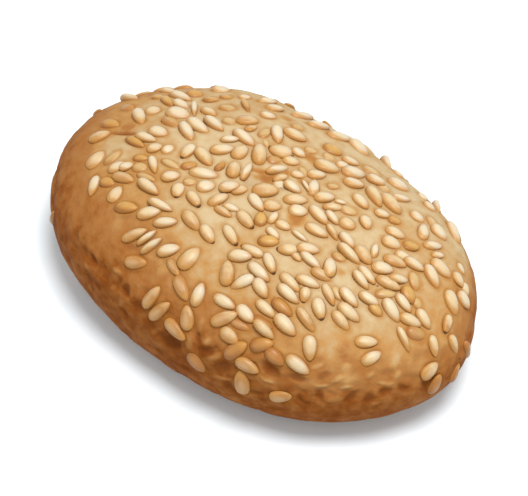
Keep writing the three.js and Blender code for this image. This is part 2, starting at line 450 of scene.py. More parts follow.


# Where dents are seen on the crust, some of them shadows below seeds: across and down in pixels, turn in
# degrees, then half length, half width and depth in millimetres; the depth also sets how much painted shade
# darkens each.
DENT_PLACES = (
    (73, 252, -50, 0.7, 0.35, 0.25), (93, 259, -70, 1.25, 0.6, 0.5), (103, 267, -65, 0.85, 0.4, 0.3),
    (98, 287, -60, 1.2, 0.65, 0.35), (105, 298, -40, 0.95, 0.4, 0.3), (119, 280, 40, 0.85, 0.5, 0.35),
    (125, 290, 60, 1.15, 0.8, 0.85), (136, 305, -10, 1.4, 0.75, 0.45), (86, 275, -30, 0.7, 0.3, 0.2),
    (130, 246, -10, 1.3, 0.6, 0.25), (124, 218, 0, 1.7, 0.55, 0.2), (134, 271, 0, 1.4, 0.4, 0.25),
    (171, 343, 4, 2.1, 1.15, 0.9), (198, 338, 90, 1.1, 0.5, 0.6), (207, 350, -5, 1.5, 0.65, 0.75),
    (215, 347, 25, 0.7, 0.35, 0.4), (225, 367, 8, 2.7, 0.95, 0.9), (230, 388, -60, 1.5, 0.85, 0.55),
    (270, 370, -42, 1.9, 1.0, 0.75), (256, 393, -6, 1.6, 0.6, 0.5), (262, 401, -30, 0.9, 0.6, 0.35),
    (298, 377, -14, 1.8, 0.65, 0.5), (324, 376, 25, 1.3, 0.5, 0.35), (298, 397, 80, 0.9, 0.5, 0.4),
    (303, 402, -25, 0.9, 0.45, 0.4), (320, 396, 90, 0.9, 0.6, 0.42), (351, 398, 40, 1.6, 0.6, 0.48),
    (369, 398, 75, 1.2, 0.8, 0.4), (386, 391, 0, 1.3, 0.6, 0.5), (404, 389, -35, 1.5, 0.7, 0.4),
    (427, 383, -10, 1.4, 0.8, 0.48), (387, 372, 0, 1.2, 0.6, 0.2), (353, 372, 40, 1.0, 0.4, 0.15),
    (344, 356, 30, 0.9, 0.4, 0.15), (335, 384, 30, 0.7, 0.4, 0.15), (330, 414, 0, 1.6, 0.4, 0.2),
)


# Where the crust is seen raised, with a paler painted highlight on it, in the same order, with a height for
# the depth.
RIDGE_PLACES = (
    (118, 229, 10, 1.3, 0.9, 0.06), (118, 272, -10, 1.3, 0.4, 0.2), (120, 303, 10, 1.3, 0.6, 0.2),
    (112, 288, 30, 0.8, 0.5, 0.18), (140, 284, 0, 1.1, 0.7, 0.12), (87, 266, -30, 0.7, 0.4, 0.15),
    (190, 342, 85, 1.5, 0.55, 0.25), (207, 341, 10, 0.8, 0.6, 0.3), (214, 356, 10, 1.6, 0.5, 0.25),
    (268, 381, -30, 1.5, 0.4, 0.25), (222, 378, -5, 1.8, 0.4, 0.2), (201, 326, 80, 1.2, 0.6, 0.2),
    (155, 331, 20, 1.3, 0.6, 0.15), (323, 386, 5, 1.2, 0.45, 0.22), (347, 387, 5, 1.2, 0.4, 0.2),
    (386, 383, 0, 1.4, 0.5, 0.24), (370, 375, 40, 0.9, 0.5, 0.2), (397, 376, 60, 1.1, 0.6, 0.16),
    (346, 367, 0, 0.9, 0.6, 0.15), (376, 403, 0, 1.0, 0.6, 0.18), (317, 366, 30, 1.3, 0.5, 0.18),
    (338, 378, 20, 1.2, 0.5, 0.16), (395, 362, 60, 1.4, 0.8, 0.12), (333, 400, 10, 1.3, 0.6, 0.14),
    (248, 182, -3, 4.6, 0.4, 0.2),
)


# Where bare crust is seen browner than round about, from stains and from painted shade below seeds: across
# and down in pixels, half width in millimetres, and darkening, which is below 0 where it is paler.
STAIN_AND_SHADE_PLACES = (
    (256, 171, 1.3, 0.42), (266, 177, 1.5, 0.42), (297, 221, 1.4, 0.42), (345, 355, 2.2, 0.12),
    (310, 158, 1.2, 0.35), (204, 261, 1.0, 0.08), (128, 126, 1.3, 0.2), (345, 341, 1.8, 0.06),
    (301, 182, 1.0, 0.3), (366, 372, 2.0, 0.15), (272, 367, 1.6, 0.25), (203, 348, 1.4, 0.2),
    (170, 340, 2.0, 0.2), (100, 205, 2.6, 0.12), (286, 172, 0.9, 0.3), (118, 148, 4.5, -0.13),
    (368, 238, 3.0, -0.08), (250, 240, 5.0, 0.06), (300, 265, 4.0, 0.08), (222, 245, 4.0, 0.04),
    (340, 272, 0.8, 0.2), (287, 119, 1.2, 0.25), (62, 195, 3.0, 0.14), (94, 190, 4.0, 0.05),
    (110, 216, 1.6, 0.1), (225, 366, 1.8, 0.15), (256, 354, 1.2, 0.14), (316, 364, 1.7, 0.14),
    (292, 377, 1.7, 0.12), (268, 326, 1.6, 0.1), (209, 339, 1.2, -0.12), (244, 339, 1.4, -0.1),
    (160, 326, 1.4, -0.08), (278, 394, 2.0, 0.1), (125, 290, 0.9, 0.3), (93, 258, 0.8, 0.2),
    (120, 280, 0.7, 0.15), (136, 304, 1.2, 0.15), (98, 287, 0.9, 0.12), (299, 398, 0.8, 0.14),
    (319, 396, 0.9, 0.14), (351, 397, 1.4, 0.15), (367, 400, 1.2, 0.14), (386, 391, 1.3, 0.14),
    (404, 387, 1.4, 0.16), (427, 383, 1.6, 0.14), (322, 376, 1.3, 0.14),
)


@dataclass(frozen=True)
class View:
    """The camera's place, and where it sees each place on the bagel. Lengths are in millimetres."""

    azimuth: float = math.radians(39.5)
    elevation: float = math.radians(50.0)
    distance: float = 450.0
    lens: float = 196.7
    sensor: float = 36.0
    picture_width: int = 528
    picture_height: int = 496
    aim_height: float = 12.1
    aim_right: float = 0.38
    aim_up: float = -1.22

    @property
    def axes(self) -> np.ndarray:
        """The picture's right and up, and the way back to the camera, one to a row."""
        cos, sin = math.cos(self.azimuth), math.sin(self.azimuth)
        flat, high = math.cos(self.elevation), math.sin(self.elevation)
        return np.array([[cos, sin, 0.0], [-sin * high, cos * high, flat], [sin * flat, -cos * flat, high]])

    @property
    def aim(self) -> np.ndarray:
        """The place in the middle of the picture."""
        right, up, _ = self.axes
        return np.array([0.0, 0.0, self.aim_height]) + self.aim_right * right + self.aim_up * up

    @property
    def scale(self) -> float:
        """Pixels to a millimetre in the middle of the picture."""
        return self.lens / self.sensor * self.picture_width / self.distance

    @property
    def camera(self) -> np.ndarray:
        """The camera's place."""
        return self.aim + self.distance * self.axes[2]

    def pixels(self, points: np.ndarray) -> np.ndarray:
        """Gives where places are seen in the picture.

        Args:
            points: Places, one to a row.

        Returns:
            Pixels across and down, one place to a row.
        """
        right, up, back = self.axes @ (points - self.aim).T
        scale = self.lens / self.sensor * self.picture_width / (self.distance - back)
        across, down = self.picture_width / 2 + right * scale, self.picture_height / 2 - up * scale
        return np.column_stack((across, down))

    def facing(self, spots: Spots) -> np.ndarray:
        """Gives how squarely each spot faces the camera, below 0 where it faces away."""
        return (spots.normals * unit(self.camera - spots.points)).sum(1)

    def tangent(self, normal: np.ndarray, degrees: float) -> np.ndarray:
        """Gives the direction along the crust that is seen at an angle in the picture.

        Args:
            normal: The crust's outward normal.
            degrees: The angle, anticlockwise from the picture's right.

        Returns:
            The unit direction.
        """
        right, up, back = self.axes
        seen = math.cos(math.radians(degrees)) * right + math.sin(math.radians(degrees)) * up
        return unit(seen - back * (seen @ normal) / (back @ normal))


@dataclass
class SeenCrust:
    """The crust as the picture shows it, sampled finely so that places in the picture are found on it."""

    form: CrustForm
    view: View
    levels: int = 420
    rounds: int = 1200
    lowest_level: float = -0.55
    highest_level: float = 0.9999
    least_facing: float = 0.06
    seed_height: float = 0.18
    points: np.ndarray = field(init=False)
    normals: np.ndarray = field(init=False)
    pixels: np.ndarray = field(init=False)
    seed_pixels: np.ndarray = field(init=False)

    def __post_init__(self) -> None:
        """Samples the crust that faces the camera."""
        levels, rounds = np.meshgrid(
            np.linspace(self.lowest_level, self.highest_level, self.levels),
            np.linspace(0, 2 * math.pi, self.rounds),
        )
        spots = self.form.spots(self.form.directions(levels.ravel(), rounds.ravel()))
        seen = self.view.facing(spots) > self.least_facing
        self.points, self.normals = spots.points[seen], spots.normals[seen]
        self.pixels = self.view.pixels(self.points)
        self.seed_pixels = self.view.pixels(self.points + self.seed_height * self.normals)

    def find(
        self, across: float, down: float, degrees: float, on_seed: bool = False
    ) -> tuple[np.ndarray, np.ndarray, np.ndarray]:
        """Finds a place in the picture on the crust.

        Args:
            across: Pixels from the picture's left.
            down: Pixels from its top.
            degrees: An angle in the picture, anticlockwise from its right.
            on_seed: Whether what is seen there is a seed, which stands above the crust.

        Returns:
            The place, the direction along the crust that is seen at the angle, and the outward normal.
        """
        pixels = self.seed_pixels if on_seed else self.pixels
        nearest = int(((pixels - (across, down)) ** 2).sum(1).argmin())
        normal = self.normals[nearest]
        return self.points[nearest], self.view.tangent(normal, degrees), normal


@dataclass(frozen=True)
class BakeAndShading:
    """How brown the crust is painted: browner on steep sides, with painted shade on one shoulder and paler
    painted light on the far one.
    """

    form: CrustForm
    least: float = 0.03
    side_gain: float = 0.85
    side_power: float = 1.35
    # Painted shade on the shoulder facing this way.
    shaded_way: tuple[float, float] = (-0.6, -0.8)
    shade_gain: float = 0.3
    shade_start: float = 0.05
    shade_full: float = 0.85
    # Paler painted light on the far shoulder facing this way.
    lit_way: tuple[float, float] = (0.12, 1.0)
    lit_start: float = 0.3
    lit_full: float = 0.8
    lit_paling: float = 0.78
    lit_low: float = 1.45
    lit_high: float = 0.95
    most: float = 0.84
    under: float = 0.6
    under_start: float = -0.55
    under_full: float = -0.9

    def at(self, spots: Spots) -> np.ndarray:
        """Gives how brown the crust is painted at each spot, with its painted shade and light.

        Args:
            spots: Places on the crust.

        Returns:
            One value for each spot, from 0 for pale to 1 for deep brown.
        """
        steepness = np.arccos(np.clip(spots.normals[:, 2], -1, 1))
        plan = spots.points[:, :2] / (self.form.length / 2, self.form.width / 2)
        sides = self.side_gain * (steepness / (math.pi / 2)) ** self.side_power
        shoulder = np.maximum(np.sin(2 * steepness), 0)
        shaded_shoulder = self.shade_gain * smooth(self.shade_start, self.shade_full, plan @ self.shaded_way) * shoulder
        lit_shoulder = smooth(self.lit_start, self.lit_full, plan @ self.lit_way)
        lit_shoulder *= self.lit_paling * smooth(self.lit_low, self.lit_high, steepness)
        baked = np.minimum(self.least + (sides + shaded_shoulder) * (1 - lit_shoulder), self.most)
        under = smooth(self.under_start, self.under_full, spots.normals[:, 2])
        return baked + (self.under - baked) * under


@dataclass
class Seed:
    """One sesame seed: its middle on the crust, its axes, its sizes and how it has baked."""

    point: np.ndarray
    along: np.ndarray
    across: np.ndarray
    normal: np.ndarray
    length: float
    kind: SeedKind = SeedKind.PALE
    added_tone: float = 0.0
    dark_tip: float = 0.0
    lift: float = 0.0
    plump: float = 1.0
    slim: float = 1.0
    tone: float = 0.0
    sized: bool = False


# How much of each kind's thickness lies in the crust.
SUNK_SHARES = {SeedKind.PALE: 0.51, SeedKind.TOASTED: 0.53, SeedKind.GLAZED: 0.72}


@dataclass(frozen=True)
class SeedCover:
    """The rule that lays the seeds: at the listed places where the picture shows them, by draws on the far
    side.
    """

    seen: SeenCrust
    bake_and_shading: BakeAndShading
    length: float = 3.8
    size_spread: float = 0.12
    width_share: float = 0.58
    gap: float = 0.2
    draws: int = 20117
    tries: int = 30000
    far_facing: float = -0.17
    steepest_mean: float = 1.24
    steepest_swing: float = 0.25
    steepest_peak: float = 1.2
    thinning_band: float = 0.75
    look_draws: int = 90107
    far_pale_share: float = 0.72
    far_toasted_share: float = 0.16
    far_dark_tip_share: float = 0.08
    roll: float = 0.2
    pitch: float = 0.07
    prop_overlap: float = 0.25
    prop_lean: float = 0.14
    prop_lift: float = 0.28
    tone_spread: float = 0.3
    tone_of_bake_and_shading: float = 1.1
    fresh_bake: float = 0.35
    browner: float = 0.48
    mellower: float = 0.3
    fresher: float = -0.05
    shortest: float = 2.1
    longest: float = 4.8
    seen_width_gain: float = 1.07
    slimmest: float = 0.42
    widest: float = 1.38
    rim_facing: float = 0.5
    rim_tilt: float = 0.25
    least_slim: float = 0.8
    slim_range: float = 0.4
    least_plump: float = 0.85
    plump_range: float = 0.3

    def cover(self, spots: Spots) -> np.ndarray:
        """Gives how likely a seed is to stick at each spot, from 0 to 1.

        Args:
            spots: Places on the crust.

        Returns:
            One share for each spot.
        """
        points = spots.points
        steepness = np.arccos(np.clip(spots.normals[:, 2], -1, 1))
        angle = np.arctan2(points[:, 1] / self.seen.form.width, points[:, 0] / self.seen.form.length)
        steepest = self.steepest_mean + self.steepest_swing * np.cos(angle - self.steepest_peak)
        return np.clip((steepest - steepness) / self.thinning_band, 0, 1)

    def place_seen(self) -> list[Seed]:
        """Places the seeds that the picture shows.

        Returns:
            The seeds, in the order of their lists.
        """
        lists = (
            (SUNK_BROWN_PLACES, SeedKind.GLAZED, self.browner, 0.0),
            (GLAZED_PLACES, SeedKind.GLAZED, 0.0, 0.0),
            (BROWN_PLACES, SeedKind.TOASTED, self.browner, 0.0),
            (TOASTED_PLACES, SeedKind.TOASTED, 0.0, 0.0),
            (GOLDEN_PLACES, SeedKind.PALE, self.browner, 0.0),
            (MELLOW_PLACES, SeedKind.PALE, self.mellower, 0.0),
            (DARK_TIP_PLACES, SeedKind.PALE, self.mellower, 1.0),
            (PALE_PLACES, SeedKind.PALE, 0.0, 0.0),
            (FRESH_PLACES, SeedKind.PALE, self.fresher, 0.0),
        )
        seeds = []
        for places, kind, added_tone, dark_tip in lists:
            for across, down, turn, *sizes in places:
                point, tip_way, normal = self.seen.find(across, down, turn, on_seed=True)
                side = np.cross(normal, -tip_way)
                seed = Seed(point, -tip_way, side, normal, self.length, kind, added_tone, dark_tip)
                if sizes:
                    self.fit_sizes(seed, *sizes)
                seeds.append(seed)
        return seeds

    def fit_sizes(self, seed: Seed, seen_length: float, seen_width: float) -> None:
        """Gives a seed the sizes that it is seen with, within what a seed can have.

        Args:
            seed: The seed.
            seen_length: Its length in the picture, in pixels.
            seen_width: Its width in the picture, in pixels.
        """
        view = self.seen.view
        length = seen_length / view.scale / np.linalg.norm(view.axes[:2] @ seed.along)
        width = seen_width / view.scale / np.linalg.norm(view.axes[:2] @ seed.across)
        seed.length = min(max(length, self.shortest), self.longest)
        slim = self.seen_width_gain * width / (seed.length * self.width_share)
        seed.slim = min(max(slim, self.slimmest), self.widest)
        seed.sized = True

    def scatter_far(self, laid: list[Seed]) -> list[Seed]:
        """Draws seeds for the far side, clear of those already laid.

        Args:
            laid: The seeds already laid.

        Returns:
            The seeds of the far side.
        """
        levels, rounds, spins, luck = Draws(self.draws).rows(self.tries, 4).T
        form = self.seen.form
        spots = form.spots(form.directions(levels, 2 * math.pi * rounds))
        full_spread = form.length * form.width / 4
        sticks = luck <= self.cover(spots) * np.minimum(spots.spread / full_spread, 1)
        kept = sticks & (self.seen.view.facing(spots) < self.far_facing)
        picks = Draws(self.look_draws)
        seeds: list[Seed] = []
        for point, normal, spin in zip(spots.points[kept], spots.normals[kept], spins[kept]):
            east = unit(np.cross([0.0, 1.0, 0.0], normal))
            along = turned(east, normal, 2 * math.pi * spin)
            seed = Seed(point, along, np.cross(normal, along), normal, self.length)
            if self.gaps(laid + seeds, seed).min() < self.gap:
                continue
            pick, tip = picks.next(), picks.next()
            if pick > self.far_pale_share + self.far_toasted_share:
                seed.kind = SeedKind.GLAZED
            elif pick > self.far_pale_share:
                seed.kind = SeedKind.TOASTED
            seed.dark_tip = float(tip < self.far_dark_tip_share)
            seeds.append(seed)
        return seeds

    def reach(self, lengths: np.ndarray, turns: np.ndarray) -> np.ndarray:
        """Gives half of each seed's extent in a direction that is a turn away from its long axis."""
        long, wide = lengths / 2, lengths * self.width_share / 2
        return long * wide / np.hypot(wide * np.cos(turns), long * np.sin(turns))

    def gaps(self, earlier: list[Seed], later: Seed) -> np.ndarray:
        """Gives the gap between a seed and each earlier one, below 0 where they overlap.

        Args:
            earlier: Seeds already laid.
            later: The seed to lay.

        Returns:
            One gap in millimetres for each earlier seed.
        """
        apart = later.point - np.array([seed.point for seed in earlier])
        ways = np.arctan2(apart @ later.across, apart @ later.along)
        turns = np.arctan2(
            np.array([seed.across for seed in earlier]) @ later.along,
            np.array([seed.along for seed in earlier]) @ later.along,
        )
        lengths = np.array([seed.length for seed in earlier])
        own = self.reach(np.full(len(earlier), later.length), ways)
        return np.linalg.norm(apart, axis=1) - own - self.reach(lengths, ways + turns)

    def prop(self, seeds: list[Seed]) -> None:
        """Leans each seed that overlaps an earlier one on it.

        Args:
            seeds: The seeds, in the order they fell.
        """
        flat = [Seed(seed.point, seed.along, seed.across, seed.normal, seed.length) for seed in seeds]
        for number, seed in enumerate(seeds[1:], start=1):
            gaps = self.gaps(flat[:number], flat[number])
            overlap = -gaps.min() - self.prop_overlap
            if overlap < 0 or seed.kind is SeedKind.GLAZED:
                continue
            share = min(overlap, 1.0)
            apart = flat[int(gaps.argmin())].point - seed.point
            lean_along = -self.prop_lean * share * math.copysign(1, apart @ seed.along)
            seed.along = turned(seed.along, seed.across, lean_along)
            seed.normal = np.cross(seed.along, seed.across)
            seed.lift = self.prop_lift * share

    def give_looks(self, seeds: list[Seed]) -> None:
        """Draws each seed's tone, tilt and sizes.

        Args:
            seeds: The seeds to vary.
        """
        draws = Draws(self.look_draws)
        places = Spots(*(np.array(rows) for rows in zip(*((s.point, s.normal, 1.0) for s in seeds))))
        for seed, darkening, facing in zip(seeds, self.bake_and_shading.at(places), self.seen.view.facing(places)):
            size, tone, roll, pitch, plump, slim = draws.rows(1, 6)[0]
            if not seed.sized:
                seed.length *= 1 + (2 * size - 1) * self.size_spread
                seed.slim = self.least_slim + self.slim_range * slim
            # Each seed takes on the bake of the crust under it, with its painted shade and light.
            baked = self.tone_of_bake_and_shading * darkening * (self.fresh_bake if seed.added_tone < 0 else 1)
            seed.tone = self.tone_spread * tone + baked + seed.added_tone
            lean = (2 * roll - 1) * self.roll
            if 0 < facing < self.rim_facing and seed.kind is not SeedKind.GLAZED:
                self.stand_up(seed, 1 - facing / self.rim_facing)
            seed.across = turned(seed.across, seed.along, lean)
            seed.along = turned(seed.along, seed.across, (2 * pitch - 1) * self.pitch)
            seed.normal = np.cross(seed.along, seed.across)
            seed.plump = self.least_plump + self.plump_range * plump

    def stand_up(self, seed: Seed, share: float) -> None:
        """Tilts a seed near the edge of what is seen towards the camera, so that its broad side shows.

        Args:
            seed: The seed.
            share: How far to tilt it, from 0 to 1.
        """
        axis = unit(np.cross(seed.normal, self.seen.view.axes[2]))
        for name in ("along", "across", "normal"):
            setattr(seed, name, turned(getattr(seed, name), axis, self.rim_tilt * share))

    def lay(self) -> list[Seed]:
        """Lays every seed.

        Returns:
            The seeds that the picture shows, then those of the far side.
        """
        seeds = self.place_seen()
        seeds += self.scatter_far(seeds)
        self.prop(seeds)
        self.give_looks(seeds)
        return seeds


def turned(vector: np.ndarray, axis: np.ndarray, angle: float) -> np.ndarray:
    """Turns a vector about a unit axis by the right-hand rule.

    Args:
        vector: The vector.
        axis: The unit axis.
        angle: The turn in radians.

    Returns:
        The turned vector.
    """
    cos, sin = math.cos(angle), math.sin(angle)
    return vector * cos + np.cross(axis, vector) * sin + axis * (axis @ vector) * (1 - cos)


@dataclass(frozen=True)
class Lumps:
    """Soft noise on a piece: the size of its lumps in millimetres, its finer layers and their strength."""

    size: float
    detail: float = 2.0
    roughness: float = 0.5


class Signal:
    """A node's output socket, with arithmetic that adds Math nodes."""

    def __init__(self, bench: "NodeBench", socket: bpy.types.NodeSocket) -> None:
        """Wraps a socket of a bench's material."""
        self.bench = bench
        self.socket = socket

    def _math(self, operation: str, first: "Signal | float", second: "Signal | float") -> "Signal":
        """Adds one Math node."""
        return self.bench.add("ShaderNodeMath", {"operation": operation}, {0: first, 1: second})

    def __add__(self, other: "Signal | float") -> "Signal":
        """Adds."""
        return self._math("ADD", self, other)

    __radd__ = __add__

    def __sub__(self, other: "Signal | float") -> "Signal":
        """Subtracts."""
        return self._math("SUBTRACT", self, other)

    def __rsub__(self, other: float) -> "Signal":
        """Subtracts from a number."""
        return self._math("SUBTRACT", other, self)

    def __mul__(self, other: "Signal | float") -> "Signal":
        """Multiplies."""
        return self._math("MULTIPLY", self, other)

    __rmul__ = __mul__

    def rise(self, low: float, high: float) -> "Signal":
        """Rises smoothly from 0 at low to 1 at high.

        Args:
            low: Where the rise starts.
            high: Where the rise ends.

        Returns:
            The share from 0 to 1.
        """
        sockets = {"Value": self, "From Min": low, "From Max": high}
        return self.bench.add("ShaderNodeMapRange", {"interpolation_type": "SMOOTHSTEP"}, sockets)


class NodeBench:
    """One material and the nodes that are added to it."""

    def __init__(self, name: str) -> None:
        """Makes an empty material."""
        self.material = bpy.data.materials.new(name)
        self.material.use_nodes = True
        self.tree = self.material.node_tree
        self.tree.nodes.clear()

    def add(
        self,
        kind: str,
        settings: dict[str, object] | None = None,
        sockets: dict[str | int, object] | None = None,
        output: str | int = 0,
    ) -> Signal:
        """Adds a node.

        Args:
            kind: The node's type.
            settings: Its own settings, set first. The key stops holds a ramp's places and colours.
            sockets: Values or signals for its inputs, by name, identifier or number.
            output: The output to give back.

        Returns:
            The output as a signal.
        """
        node = self.tree.nodes.new(kind)
        for key, value in (settings or {}).items():
            if key == "stops":
                self._set_stops(node.color_ramp, value)
            else:
                setattr(node, key, value)
        for key, value in (sockets or {}).items():
            socket = self._find(node.inputs, key)
            if isinstance(value, Signal):
                self.tree.links.new(value.socket, socket)
            elif isinstance(value, tuple) and socket.type == "RGBA":
                socket.default_value = (*value, 1.0)
            else:
                socket.default_value = value
        return Signal(self, self._find(node.outputs, output))

    @staticmethod
    def _find(sockets: bpy.types.bpy_prop_collection, key: str | int) -> bpy.types.NodeSocket | None:
        """Finds a socket by number, identifier or name, or nothing where the node has no sockets."""
        if isinstance(key, int):
            return sockets[key] if sockets else None
        return next((socket for socket in sockets if socket.identifier == key), None) or sockets[key]

    @staticmethod
    def _set_stops(ramp: bpy.types.ColorRamp, stops: list[Shade]) -> None:
        """Sets a ramp's stops."""
        while len(ramp.elements) < len(stops):
            ramp.elements.new(1.0)
        for element, (place, colour) in zip(ramp.elements, stops):
            element.position = place
            element.color = (*colour, 1.0)

    def attribute(self, name: str) -> Signal:
        """Reads a value that the mesh holds for each vertex."""
        return self.add("ShaderNodeAttribute", {"attribute_name": name}, output="Fac")

    def place(self) -> Signal:
        """Reads the place on the piece, in millimetres."""
        metres = self.add("ShaderNodeTexCoord", output="Object")
        return self.add("ShaderNodeVectorMath", {"operation": "SCALE"}, {0: metres, "Scale": 1 / MM})

    def noise(self, lumps: Lumps) -> Signal:
        """Adds soft noise on the piece.

        Args:
            lumps: What the noise is like.

        Returns:
            Noise from about -0.5 to 0.5, near 0 on average.
        """
        sockets = {
            "Vector": self.place(),
            "Scale": 1 / lumps.size,
            "Detail": lumps.detail,
            "Roughness": lumps.roughness,
        }
        return self.add("ShaderNodeTexNoise", None, sockets) - MIDDLE

    def mix(self, first: Signal | Colour, second: Signal | Colour, share: Signal | float) -> Signal:
        """Mixes two colours.

        Args:
            first: The colour at share 0.
            second: The colour at share 1.
            share: How much of the second.

        Returns:
            The mixed colour.
        """
        sockets = {"Factor_Float": share, "A_Color": first, "B_Color": second}
        return self.add("ShaderNodeMix", {"data_type": "RGBA"}, sockets, output="Result_Color")

    def ramp(self, share: Signal, stops: list[Shade]) -> Signal:
        """Looks a share up in a colour ramp."""
        return self.add("ShaderNodeValToRGB", {"stops": stops}, {"Fac": share})

    def finish(self, sockets: dict[str, object]) -> bpy.types.Material:
        """Ends the material in its shader.

        Args:
            sockets: Values or signals for the shader's inputs.

        Returns:
            The material.
        """
        shader = self.add("ShaderNodeBsdfPrincipled", None, sockets)
        self.add("ShaderNodeOutputMaterial", None, {"Surface": shader})
        return self.material


@dataclass(frozen=True)
class CrustFinish:
    """Baked crust: golden on top, browner down the sides, with painted shade in hollows and beside seeds,
    and a faint egg-wash sheen.
    """

    pale: Shade = (0.03, srgb(176, 155, 119))
    tan: Shade = (0.18, srgb(167, 136, 94))
    golden: Shade = (0.29, srgb(164, 122, 72))
    brown: Shade = (0.45, srgb(150, 103, 57))
    chestnut: Shade = (0.62, srgb(146, 94, 47))
    deep: Shade = (0.86, srgb(126, 70, 25))
    umber: Shade = (1.0, srgb(112, 59, 19))
    # Painted shade: the colour that hollows are darkened towards.
    pit_shade: Colour = srgb(104, 56, 22)
    # Painted shade: the colour that the crust beside each seed is darkened towards.
    seed_shade: Colour = srgb(146, 98, 39)
    speck: Colour = srgb(90, 50, 26)
    blotch: Lumps = Lumps(9.0, 3.0)
    blotch_share: float = 0.4
    mottle: Lumps = Lumps(2.6, 3.0, 0.6)
    mottle_share: float = 0.32
    fine: Lumps = Lumps(0.8, 3.0, 0.65)
    fine_share: float = 0.22
    patch: Lumps = Lumps(1.5, 1.0)
    patch_edge: Span = (-0.06, 0.08)
    patch_share: float = 0.09
    pit_shade_share: float = 0.62
    seed_shade_share: float = 0.32
    seed_shade_darkening: float = 0.08
    speck_spacing: float = 6.0
    speck_edge: Span = (0.02, 0.05)
    speck_share: float = 0.8
    roughness: float = 0.62
    roughness_swing: float = 0.2
    gloss: float = 0.02
    dimple: Lumps = Lumps(1.6, 2.0, 0.55)
    dimple_depth: float = 0.4
    dimple_on_top: float = 0.2
    dimple_shade: float = 0.5
    grain: Lumps = Lumps(0.5, 2.0, 0.6)
    grain_depth: float = 0.04

    def material(self) -> bpy.types.Material:
        """Makes the material.

        Returns:
            The material, which reads the attributes bake_and_shading, pit_shade and seed_shade.
        """
        bench = NodeBench("baked_crust")
        blotch, mottle, fine = (bench.noise(lumps) for lumps in (self.blotch, self.mottle, self.fine))
        bake_and_shading, seed_shade = bench.attribute("bake_and_shading"), bench.attribute("seed_shade")
        strength = bake_and_shading + self.dimple_on_top
        dimples = bench.noise(self.dimple) * strength
        patches = (bench.noise(self.patch).rise(*self.patch_edge) - MIDDLE) * strength
        shade = bake_and_shading + blotch * self.blotch_share + mottle * self.mottle_share + fine * self.fine_share
        # Painted shade: the low places of the dimples and the crust beside seeds are darkened.
        shade = shade + patches * self.patch_share - dimples * self.dimple_shade + seed_shade * self.seed_shade_darkening
        stops = [self.pale, self.tan, self.golden, self.brown, self.chestnut, self.deep, self.umber]
        colour = bench.ramp(shade, stops)
        colour = bench.mix(colour, self.pit_shade, bench.attribute("pit_shade") * self.pit_shade_share)
        # Painted shade beside the seeds.
        colour = bench.mix(colour, self.seed_shade, seed_shade * self.seed_shade_share)
        spread = {"Vector": bench.place(), "Scale": 1 / self.speck_spacing}
        cells = bench.add("ShaderNodeTexVoronoi", None, spread)
        colour = bench.mix(colour, self.speck, (1 - cells.rise(*self.speck_edge)) * self.speck_share)
        relief = dimples * self.dimple_depth + bench.noise(self.grain) * self.grain_depth
        bump = bench.add("ShaderNodeBump", None, {"Height": relief, "Distance": MM, "Strength": 1.0})
        return bench.finish(
            {
                "Base Color": colour,
                "Roughness": self.roughness + mottle * self.roughness_swing,
                "Specular IOR Level": self.gloss,
                "Normal": bump,
            }
        )


